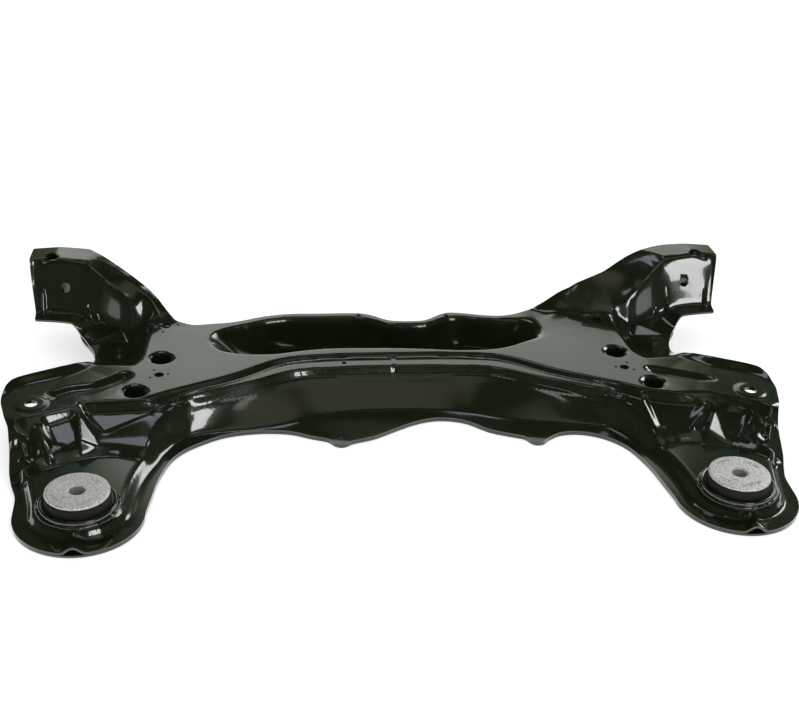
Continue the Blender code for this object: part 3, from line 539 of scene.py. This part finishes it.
def turned(name, profile, centre, sides, material, slot, *stands_for):
    """A solid of revolution about a vertical axis: profile is a closed list of (radius, height)."""
    points = []
    faces = []
    count = len(profile)
    for i in range(sides):
        a = 2 * pi * i / sides
        points += [(centre[0] + r * cos(a), centre[1] + r * sin(a), z) for r, z in profile]
        for k in range(count):
            n = (k + 1) % count
            here, there = i * count, (i + 1) % sides * count
            faces.append((here + k, there + k, there + n, here + n))
    piece(name, points, faces, material, slot, *stands_for)


def node_of(tree, kind, **inputs):
    made = tree.nodes.new(kind)
    for key, value in inputs.items():
        made.inputs[key.replace("_", " ")].default_value = value
    return made


def finish_of(name, colour, roughness, metallic=0.0):
    material = bpy.data.materials.new(name)
    material.use_nodes = True
    shader = material.node_tree.nodes["Principled BSDF"]
    shader.inputs["Base Color"].default_value = (*colour, 1)
    shader.inputs["Roughness"].default_value = roughness
    shader.inputs["Metallic"].default_value = metallic
    return material, material.node_tree, shader


def noise(tree, scale, detail=2.0):
    """Noise in the part's own metres."""
    place = tree.nodes.new("ShaderNodeTexCoord")
    made = node_of(tree, "ShaderNodeTexNoise", Scale=scale, Detail=detail)
    tree.links.new(place.outputs["Object"], made.inputs["Vector"])
    return made


def spread_between(tree, source, low, high, start=0.3, stop=0.7):
    made = node_of(tree, "ShaderNodeMapRange", From_Min=start, From_Max=stop, To_Min=low, To_Max=high)
    tree.links.new(source, made.inputs["Value"])
    return made.outputs["Result"]


def bump(tree, shader, height, distance):
    made = node_of(tree, "ShaderNodeBump", Strength=1.0, Distance=distance)
    tree.links.new(height, made.inputs["Height"])
    tree.links.new(made.outputs["Normal"], shader.inputs["Normal"])


def window(tree, source, low, high, soft):
    """One between two values, falling softly to zero outside them."""
    rise = node_of(tree, "ShaderNodeMapRange", From_Min=low - soft, From_Max=low + soft)
    fall = node_of(tree, "ShaderNodeMapRange", From_Min=high - soft, From_Max=high + soft,
                   To_Min=1.0, To_Max=0.0)
    both_sides = tree.nodes.new("ShaderNodeMath")
    both_sides.operation = "MULTIPLY"
    for made, socket in ((rise, 0), (fall, 1)):
        made.interpolation_type = "SMOOTHSTEP"
        tree.links.new(source, made.inputs["Value"])
        tree.links.new(made.outputs["Result"], both_sides.inputs[socket])
    return both_sides.outputs[0]


def maths(tree, operation, first, second):
    made = tree.nodes.new("ShaderNodeMath")
    made.operation = operation
    for n, source in enumerate((first, second)):
        if isinstance(source, float):
            made.inputs[n].default_value = source
        else:
            tree.links.new(source, made.inputs[n])
    return made.outputs[0]


def black_paint():
    """Glossy dip paint: deep black with a faint green cast, a little uneven, with a fine orange peel, and
    painted shade in the front pocket, where most of its reflection is taken away.
    """
    material, tree, shader = finish_of("black_paint_finish", (0.010, 0.012, 0.009), 0.12)
    shader.inputs["Specular Tint"].default_value = (0.88, 1.0, 0.82, 1)
    shader.inputs["Coat IOR"].default_value = 1.6
    shader.inputs["Coat Roughness"].default_value = 0.05
    mottle = noise(tree, 14.0, 3.0)
    tree.links.new(spread_between(tree, mottle.outputs["Fac"], 0.16, 0.26), shader.inputs["Roughness"])
    mix = tree.nodes.new("ShaderNodeMix")
    mix.data_type = "RGBA"
    mix.inputs["A"].default_value = (0.0035, 0.0075, 0.0015, 1)
    mix.inputs["B"].default_value = (0.0075, 0.0130, 0.0045, 1)
    tree.links.new(mottle.outputs["Fac"], mix.inputs["Factor"])
    tree.links.new(mix.outputs["Result"], shader.inputs["Base Color"])
    peel = noise(tree, 260.0, 2.0)
    bump(tree, shader, peel.outputs["Fac"], 0.00004)
    # Painted shade: inside the pocket the coat and most of the specular reflection are taken away, so the
    # recess renders dark
    painted_shade_gloss = maths(tree, "SUBTRACT", 1.0, maths(tree, "MULTIPLY", pocket_painted_shade_mask(tree), POCKET_PAINTED_SHADE))
    tree.links.new(painted_shade_gloss, shader.inputs["Coat Weight"])
    tree.links.new(maths(tree, "MULTIPLY", painted_shade_gloss, 0.5), shader.inputs["Specular IOR Level"])
    return material


def pocket_painted_shade_mask(tree):
    """Mask of the painted shade: one on the skin inside the front pocket, below its rim, and zero on the
    rest of the part.
    """
    place = tree.nodes.new("ShaderNodeTexCoord")
    axes = tree.nodes.new("ShaderNodeSeparateXYZ")
    tree.links.new(place.outputs["Object"], axes.inputs[0])
    low, high = at(*POCKET_BOX[0]), at(*POCKET_BOX[1])
    across = window(tree, axes.outputs["X"], low[0], high[0], 0.006)
    along = window(tree, axes.outputs["Y"], low[1], high[1], 0.002)
    below = window(tree, axes.outputs["Z"], -1.0, POCKET_RIM_Z, 0.0028)
    return maths(tree, "MULTIPLY", maths(tree, "MULTIPLY", across, along), below)


def cast_aluminium():
    material, tree, shader = finish_of("cast_aluminium_finish", (0.80, 0.785, 0.76), 0.42, 0.5)
    grain = noise(tree, 480.0, 5.0)
    mottle = noise(tree, 60.0, 4.0)
    tree.links.new(spread_between(tree, mottle.outputs["Fac"], 0.36, 0.58), shader.inputs["Roughness"])
    mix = tree.nodes.new("ShaderNodeMix")
    mix.data_type = "RGBA"
    mix.inputs["A"].default_value = (0.52, 0.508, 0.485, 1)
    mix.inputs["B"].default_value = (0.90, 0.885, 0.86, 1)
    tree.links.new(spread_between(tree, grain.outputs["Fac"], 0.0, 1.0, 0.38, 0.62), mix.inputs["Factor"])
    tree.links.new(mix.outputs["Result"], shader.inputs["Base Color"])
    bump(tree, shader, grain.outputs["Fac"], 0.0007)
    return material


def rubber():
    material, tree, shader = finish_of("rubber_finish", (0.006, 0.006, 0.006), 0.75)
    grain = noise(tree, 700.0, 3.0)
    bump(tree, shader, grain.outputs["Fac"], 0.0002)
    return material


def plated():
    material, tree, shader = finish_of("plated_finish", (0.22, 0.22, 0.20), 0.38, 1.0)
    mottle = noise(tree, 120.0, 3.0)
    tree.links.new(spread_between(tree, mottle.outputs["Fac"], 0.30, 0.50), shader.inputs["Roughness"])
    return material


def bore_steel():
    return finish_of("bore_steel_finish", (0.30, 0.30, 0.28), 0.55, 0.2)[0]


PAINT = black_paint()
CAST = cast_aluminium()
RUBBER = rubber()
ZINC = plated()
LINER = bore_steel()


def fresh_field(node):
    points, triangles = node_skin(node)
    low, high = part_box(node)
    field = Field(low, high)
    for a, b, c in triangles:
        field.add_triangle(points[a], points[b], points[c])
    field.grow(ceil(MARGIN / PITCH) + 2)
    return field, edge_loops(points, triangles)


def sides(spot):
    return [at(spot[0], spot[1]), at(-spot[0], spot[1])]


def lowered_round(field, centre, radius, width, depth):
    """The metal turned down round a hole."""
    wide = radius + width
    part = field.cells((centre[0] - wide, centre[1] - wide), (centre[0] + wide, centre[1] + wide))
    reach = np.hypot(field.x[part] - centre[0], field.y[part] - centre[1])
    field.z[part] -= depth * smooth(1 - (reach - radius) / width)


def area(field, corners, side, soft):
    """One inside an outline drawn for the right half, and softly zero outside it, mirrored for the left."""
    loop = curved([at(side * x, y) for x, y in corners], AREA_STEP)
    reach = AREA_EDGE * soft
    part = field.cells(loop.min(0) - reach, loop.max(0) + reach)
    x, y = field.x[part], field.y[part]
    away = np.full(x.shape, np.inf)
    for (ax, ay), (bx, by) in zip(loop, np.roll(loop, -1, 0)):
        ex, ey = bx - ax, by - ay
        along = np.clip(((x - ax) * ex + (y - ay) * ey) / max(1e-12, ex * ex + ey * ey), 0, 1)
        away = np.minimum(away, np.hypot(x - ax - along * ex, y - ay - along * ey))
    depth = np.where(filled(field, [loop])[part], away, -away)
    mask = np.zeros_like(field.z)
    mask[part] = smooth(depth / reach + 0.5)
    return mask


def facet(field, corners):
    """A flat panel through corners given with their heights, joined softly to the metal round it."""
    spots = np.array([(*at(x, y), z) for x, y, z in corners])
    level = np.column_stack([spots[:, :2], np.ones(len(spots))])
    slope_x, slope_y, base = np.linalg.lstsq(level, spots[:, 2], rcond=None)[0]
    flat = base + slope_x * field.x + slope_y * field.y
    middle = spots[:, :2].mean(0)
    mask = np.ones_like(field.z)
    for (ax, ay), (bx, by) in zip(spots[:, :2], np.roll(spots[:, :2], -1, 0)):
        ex, ey = (bx - ax) / np.hypot(bx - ax, by - ay), (by - ay) / np.hypot(bx - ax, by - ay)
        inwards = np.sign(ex * (middle[1] - ay) - ey * (middle[0] - ax))
        depth = inwards * (ex * (field.y - ay) - ey * (field.x - ax))
        mask *= smooth(depth / FACET_SOFT + 0.5)
    field.z += mask * (flat - field.z)


def evened(field, corners, side, sigma, soft):
    """Takes the small unevenness out of an area, and leaves its large form."""
    mask = area(field, corners, side, soft)
    field.z += mask * (blurred(field.z, sigma) - field.z)


def evened_across(field, corners, side, sigma, soft):
    """The same, only from side to side, so that a steep wall keeps its profile."""
    mask = area(field, corners, side, soft)
    field.z += mask * (blurred(field.z, sigma, (0,)) - field.z)


def rib(field, top, foot, left_slope, right_slope):
    """A tent that stands on the wall: a straight crest between two points with heights, and flat flanks."""
    x0, y0 = at(top[0], top[1])
    x1, y1 = at(foot[0], foot[1])
    length = np.hypot(x1 - x0, y1 - y0)
    ux, uy = (x1 - x0) / length, (y1 - y0) / length
    part = field.cells((min(x0, x1) - RIB_REACH, y1 - 0.02), (max(x0, x1) + RIB_REACH, y0 + 0.01))
    dx, dy = field.x[part] - x0, field.y[part] - y0
    along = (dx * ux + dy * uy) / length
    right = dy * ux - dx * uy
    away = np.where(right > 0, right * right_slope, -right * left_slope)
    tent = top[2] + (foot[2] - top[2]) * along - away
    tent -= RIB_FALL * np.clip(along - 1, 0, None) + RIB_HEAD_FALL * np.clip(-along, 0, None)
    field.z[part] = np.maximum(field.z[part], tent)


def dart(field, side, x, rise, half):
    """A narrow buttress against the foot of a horn's rear face."""
    x0, y0 = at(side * x, SILL_Y)
    part = field.cells((x0 - half, y0 - 0.012), (x0 + half, y0 + 0.014))
    away = np.abs(field.x[part] - x0)
    up = (field.y[part] - (y0 - DART_ROOT)) / DART_DEPTH
    buttress = SILL_Z - 0.002 + rise * np.clip(up, 0, 1.2) - rise * away / half
    field.z[part] = np.maximum(field.z[part], np.where(up > -0.1, buttress, 0))


def upper_shell():
    field, loops = fresh_field("upper_shell")
    field.blur(BEND_BLUR)
    for side in (1, -1):
        for corners, sigma, soft in EVENED_AREAS:
            evened(field, corners, side, sigma, soft)
        evened_across(field, HORN_FACE, side, HORN_FACE_BLUR, AREA_SOFT)
        field.z += LEDGE_FLAT_RISE * area(field, LEDGE_FLAT, side, LEDGE_SOFT)
        field.z += LEDGE_BEAD_RISE * area(field, LEDGE_BEAD, side, LEDGE_SOFT)
        for corners in WALL_FACETS[side]:
            facet(field, corners)
        for top, foot, left_slope, right_slope in WALL_RIBS[side]:
            rib(field, top, foot, left_slope, right_slope)
        field.z -= EAR_GROOVE_DEPTH * area(field, EAR_GROOVE[side], side, EAR_GROOVE_SOFT)
        boss = circle(EAR_HOLE, EAR_BOSS_R, EAR_BOSS_R, 40)
        field.z += EAR_BOSS_RISE * area(field, boss, side, EAR_BOSS_SOFT)
        for x, rise, half in DARTS[side]:
            dart(field, side, x, rise, half)
    evened(field, POCKET_END, 1, POCKET_END_BLUR, POCKET_END_SOFT)
    evened_across(field, POCKET_WALL, 1, POCKET_WALL_BLUR, POCKET_WALL_SOFT)
    evened(field, HORN_ROOT, 1, HORN_ROOT_BLUR, AREA_SOFT)
    for spot in BODY_HOLES:
        for centre in sides(spot):
            lowered_round(field, centre, BODY_HOLE_R, BODY_HOLE_LIP, BODY_HOLE_LIP_DROP)
    field.blur(DETAIL_BLUR)
    rings = [curved(loops[0], EDGE_STEP)]
    for centre in sides((BUSH_X, 0.0)):
        rings.append(circle(centre, BUSH_HOLE_R, BUSH_HOLE_R, 96))
    for spot, radius, count in [(EAR_HOLE, EAR_HOLE_R, 40), (HORN_HOLE, HORN_HOLE_R, 40)]:
        rings += [circle(centre, radius, radius, count) for centre in sides(spot)]
    for spot in BODY_HOLES:
        rings += [circle(centre, BODY_HOLE_R, BODY_HOLE_R, 56) for centre in sides(spot)]
    for spot in RACK_HOLES:
        rings += [circle(centre, RACK_HOLE_R, RACK_HOLE_R, 32) for centre in sides(spot)]
    rings += [circle(centre, FACE_HOLE_RX, FACE_HOLE_RY, 28) for centre in sides(FACE_HOLE)]
    for x, y, radius in SMALL_HOLES + [LEDGE_HOLE]:
        rings.append(circle(at(x, y), radius, radius, 28))
    shell("upper_shell", field, rings, TOP_POINTS, UNDER_POINTS)
    weld_dots(field)


def weld_dots(field):
    """Small dark press marks round each rack nut hole."""
    points = []
    faces = []
    count = WELD_DOT_SIDES
    for spot in WELD_DOTS:
        for x, y in sides(spot):
            first = len(points)
            top = float(field.sample(x, y)) + WELD_DOT_RISE
            ring = circle((x, y), WELD_DOT_R, WELD_DOT_R, count)
            points += [(px, py, top) for px, py in ring]
            points += [(px, py, top - WELD_DOT_THICK) for px, py in ring]
            faces.append([first + k for k in range(count)])
            faces.append([first + count + k for k in reversed(range(count))])
            for k in range(count):
                n = (k + 1) % count
                faces.append([first + n, first + k, first + count + k, first + count + n])
    piece("weld_dots", points, faces, RUBBER, "black_paint")


def lower_shell():
    field, loops = fresh_field("lower_shell")
    field.blur(BEND_BLUR)
    rings = [curved(loops[0], EDGE_STEP)]
    for centre in sides((BUSH_X, 0.0)):
        rings.append(circle(centre, BUSH_HOLE_R, BUSH_HOLE_R, 64))
    for spot in BODY_HOLES:
        rings += [circle(centre, BODY_HOLE_R, BODY_HOLE_R, 40) for centre in sides(spot)]
    for x, y, radius in SMALL_HOLES:
        wider = radius + LOWER_HOLE_MORE
        rings.append(circle(at(x, y), wider, wider, 24))
    shell("lower_shell", field, rings, LOWER_TOP_POINTS, LOWER_UNDER_POINTS)


def bushes():
    """The core with its cast disc, the rubber and the welded collar, finer than the solids."""
    for side, sign in (("right", 1), ("left", -1)):
        centre = at(sign * BUSH_X, 0.0)
        core = [(0.0307, 0.0353), (0.0319, 0.0351), (0.0328, 0.0345), (0.0332, 0.0335), (0.0333, 0.0326),
                (0.0328, 0.0319), (0.0150, 0.0319), (0.0150, 0.0), (0.0083, 0.0),
                (0.0083, 0.0335), (0.0086, 0.0345), (0.0094, 0.0352), (0.0106, 0.0353), (0.0200, 0.03515)]
        turned(f"bush_core_{side}", core, centre, 120, CAST, "cast_aluminium", f"bush_core_{side}")
        liner = [(0.0082, 0.0338), (0.0082, 0.0), (0.0079, 0.0), (0.0079, 0.0338)]
        turned(f"bore_liner_{side}", liner, centre, 64, LINER, "plated_steel")
        fill = [(0.0342, 0.0226), (0.0342, 0.0025), (0.0247, 0.0050), (0.0153, 0.0025), (0.0153, 0.0316),
                (0.0322, 0.0316), (0.0334, 0.0308), (0.0338, 0.0285), (0.0336, 0.0245), (0.0338, 0.0232)]
        turned(f"bush_rubber_{side}", fill, centre, 96, RUBBER, "rubber", f"bush_rubber_{side}")
        collar = [(0.0368, 0.0220), (0.0372, 0.0224), (0.0390, 0.0225), (0.0400, 0.0220), (0.0403, 0.0210),
                  (0.0404, 0.0190), (0.0410, 0.0176), (0.0425, 0.0168), (0.0440, 0.0162), (0.0446, 0.0157),
                  (0.0368, 0.0156)]
        turned(f"bush_collar_{side}", collar, centre, 120, PAINT, "black_paint", f"bush_collar_{side}")
        bead(f"collar_weld_{side}", centre, WELD_RING_R, WELD_LEVEL, WELD_THICK)
        ear = at(sign * EAR_HOLE[0], EAR_HOLE[1])
        ring = [(0.0180, 0.0444), (0.0180, 0.0416), (0.0125, 0.0416), (0.0125, 0.0444)]
        turned(f"ear_ring_{side}", ring, ear, 48, PAINT, "black_paint", f"ear_ring_{side}")
        marks(f"disc_marks_{side}", centre, DISC_TOP)


def bead(name, centre, radius, z, thick):
    """An uneven weld bead round a ring."""
    points = []
    faces = []
    turns, around = 150, 8
    for i in range(turns):
        a = 2 * pi * i / turns
        swell = 1 + 0.09 * sin(29 * a) + 0.08 * sin(17 * a + 1.0) + 0.08 * sin(43 * a + 2.0)
        shift = 0.0003 * sin(7 * a) + 0.0002 * sin(13 * a + 0.6)
        for k in range(around):
            b = 2 * pi * k / around
            r = radius + shift + thick * swell * cos(b)
            points.append((centre[0] + r * cos(a), centre[1] + r * sin(a), z + thick * swell * sin(b)))
            n = (k + 1) % around
            here, there = i * around, (i + 1) % turns * around
            faces.append((here + k, there + k, there + n, here + n))
    piece(name, points, faces, PAINT, "black_paint")


def marks(name, centre, z):
    """Raised cast marks on the disc: plain bars in five groups."""
    points = []
    faces = []
    for start, count, radius in MARK_GROUPS:
        for n in range(count):
            a = radians(start + MARK_TURN * n)
            tall = TALL_MARK if (n * 5 + count) % 3 else SHORT_MARK
            wide = MARK_HALF_WIDTH
            first = len(points)
            for r, t in ((-tall, -wide), (tall, -wide), (tall, wide), (-tall, wide)):
                x = centre[0] + (radius + r) * cos(a) - t * sin(a)
                y = centre[1] + (radius + r) * sin(a) + t * cos(a)
                points += [(x, y, z + MARK_RISE), (x, y, z - MARK_ROOT)]
            top = [first, first + 2, first + 4, first + 6]
            faces.append(top)
            faces.append([i + 1 for i in reversed(top)])
            for i, j in zip(top, top[1:] + top[:1]):
                faces.append([j, i, i + 1, j + 1])
    piece(name, points, faces, CAST, "cast_aluminium")


def dress_kept_nodes():
    for name, part in nodes.items():
        finish = PAINT
        if name.startswith("rack_nut"):
            finish = ZINC
        part.data.materials.clear()
        part.data.materials.append(finish)


def lamp(name, place, aim, width, height, power, colour):
    data = bpy.data.lights.new(name, "AREA")
    data.shape = "RECTANGLE"
    data.size = width
    data.size_y = height
    data.energy = power
    data.color = colour
    light = bpy.data.objects.new(name, data)
    bpy.context.collection.objects.link(light)
    light.location = place
    light.rotation_euler = (Vector(aim) - Vector(place)).to_track_quat("-Z", "Y").to_euler()


def studio():
    """A white sweep up to BACKDROP_TOP behind the part, darker towards both sides, under a dark ceiling.
    Mirrored rays alone see it. Diffuse light comes evenly from the whole room, and the camera sees white."""
    world = bpy.data.worlds.new("studio")
    bpy.context.scene.world = world
    world.use_nodes = True
    tree = world.node_tree
    back = tree.nodes["Background"]
    back.inputs["Color"].default_value = (1, 1, 1, 1)
    place = tree.nodes.new("ShaderNodeTexCoord")
    axes = tree.nodes.new("ShaderNodeSeparateXYZ")
    tree.links.new(place.outputs["Generated"], axes.inputs[0])
    low = window(tree, axes.outputs["Z"], -2.0, sin(BACKDROP_TOP), 0.03)
    ratio = maths(tree, "DIVIDE", axes.outputs["X"], maths(tree, "MAXIMUM", axes.outputs["Y"], 0.02))
    panel = window(tree, ratio, BACKDROP_LEFT, BACKDROP_RIGHT, 0.03)
    fade = node_of(tree, "ShaderNodeMapRange", From_Min=BACKDROP_LEFT, From_Max=BACKDROP_RIGHT,
                   To_Min=BACKDROP_LEFT_LEVEL, To_Max=BACKDROP_RIGHT_LEVEL)
    tree.links.new(ratio, fade.inputs["Value"])
    panel = maths(tree, "MULTIPLY", panel, fade.outputs["Result"])
    sweep = maths(tree, "MULTIPLY", low, maths(tree, "MAXIMUM", panel, SIDE_LEVEL))
    seen = maths(tree, "MAXIMUM", sweep, CEILING_LEVEL)
    path = tree.nodes.new("ShaderNodeLightPath")
    camera_ray = path.outputs["Is Camera Ray"]
    mirror_ray = maths(tree, "MAXIMUM", path.outputs["Is Glossy Ray"], path.outputs["Is Transmission Ray"])
    glow = tinted(tree, seen, mixed_colour(tree, seen, DARK_TINT, LIGHT_TINT))
    for direction, inner, outer, level, colour in PATCHES:
        spot = patch(tree, place.outputs["Generated"], direction, radians(inner), radians(outer))
        light = tinted(tree, maths(tree, "MULTIPLY", spot, level), colour)
        total = tree.nodes.new("ShaderNodeVectorMath")
        tree.links.new(glow, total.inputs[0])
        tree.links.new(light, total.inputs[1])
        glow = total.outputs["Vector"]
    mixed = mixed_colour(tree, mirror_ray, (ROOM_LEVEL, ROOM_LEVEL, ROOM_LEVEL, 1), glow)
    final = mixed_colour(tree, camera_ray, mixed, (1, 1, 1, 1))
    tree.links.new(final, back.inputs["Color"])
    lamp("key", KEY_AT, KEY_AIM, KEY_WIDTH, KEY_HEIGHT, KEY_POWER, KEY_COLOUR)


def patch(tree, ray, direction, inner, outer):
    """One for rays near a direction, falling softly to zero at the outer angle."""
    dot = tree.nodes.new("ShaderNodeVectorMath")
    dot.operation = "DOT_PRODUCT"
    tree.links.new(ray, dot.inputs[0])
    dot.inputs[1].default_value = Vector(direction).normalized()
    edge = node_of(tree, "ShaderNodeMapRange", From_Min=cos(outer), From_Max=cos(inner))
    edge.interpolation_type = "SMOOTHSTEP"
    tree.links.new(dot.outputs["Value"], edge.inputs["Value"])
    return edge.outputs["Result"]


def tinted(tree, level, colour):
    made = tree.nodes.new("ShaderNodeVectorMath")
    made.operation = "SCALE"
    if isinstance(colour, tuple):
        made.inputs[0].default_value = colour
    else:
        tree.links.new(colour, made.inputs[0])
    tree.links.new(level, made.inputs["Scale"])
    return made.outputs["Vector"]


def mixed_colour(tree, factor, first, second):
    """The first colour where the factor is zero and the second where it is one."""
    made = tree.nodes.new("ShaderNodeMix")
    made.data_type = "RGBA"
    tree.links.new(factor, made.inputs["Factor"])
    for key, source in (("A", first), ("B", second)):
        if isinstance(source, tuple):
            made.inputs[key].default_value = source
        else:
            tree.links.new(source, made.inputs[key])
    return made.outputs["Result"]


def floor():
    mesh = bpy.data.meshes.new("floor")
    half = FLOOR_HALF
    corners = [(-half, -half, 0), (half, -half, 0), (half, half, 0), (-half, half, 0)]
    mesh.from_pydata(corners, [], [(0, 1, 2, 3)])
    ground = bpy.data.objects.new("floor", mesh)
    bpy.context.collection.objects.link(ground)
    ground.location.z = -FLOOR_GAP
    material, tree, shader = finish_of("pale_floor", (0.86, 0.86, 0.86), 0.9)
    shader.inputs["Emission Color"].default_value = (1, 1, 1, 1)
    path = tree.nodes.new("ShaderNodeLightPath")
    mirrored = maths(tree, "MAXIMUM", path.outputs["Is Glossy Ray"], path.outputs["Is Transmission Ray"])
    seen = maths(tree, "MAXIMUM", path.outputs["Is Camera Ray"], mirrored)
    tree.links.new(maths(tree, "MULTIPLY", seen, FLOOR_GLOW), shader.inputs["Emission Strength"])
    mesh.materials.append(material)


def camera():
    data = bpy.data.cameras.new("camera")
    data.sensor_width = SENSOR
    data.lens = FOCAL_PIXELS * SENSOR / PHOTO_WIDTH
    eye = bpy.data.objects.new("camera", data)
    bpy.context.collection.objects.link(eye)
    turn = Matrix((CAMERA_RIGHT, CAMERA_UP, CAMERA_BACK)).transposed()
    eye.matrix_world = Matrix.Translation(CAMERA_AT) @ turn.to_4x4()
    bpy.context.scene.camera = eye


camera()
studio()
floor()
dress_kept_nodes()
bushes()
upper_shell()
lower_shell()

bpy.context.scene.view_settings.view_transform = "Standard"
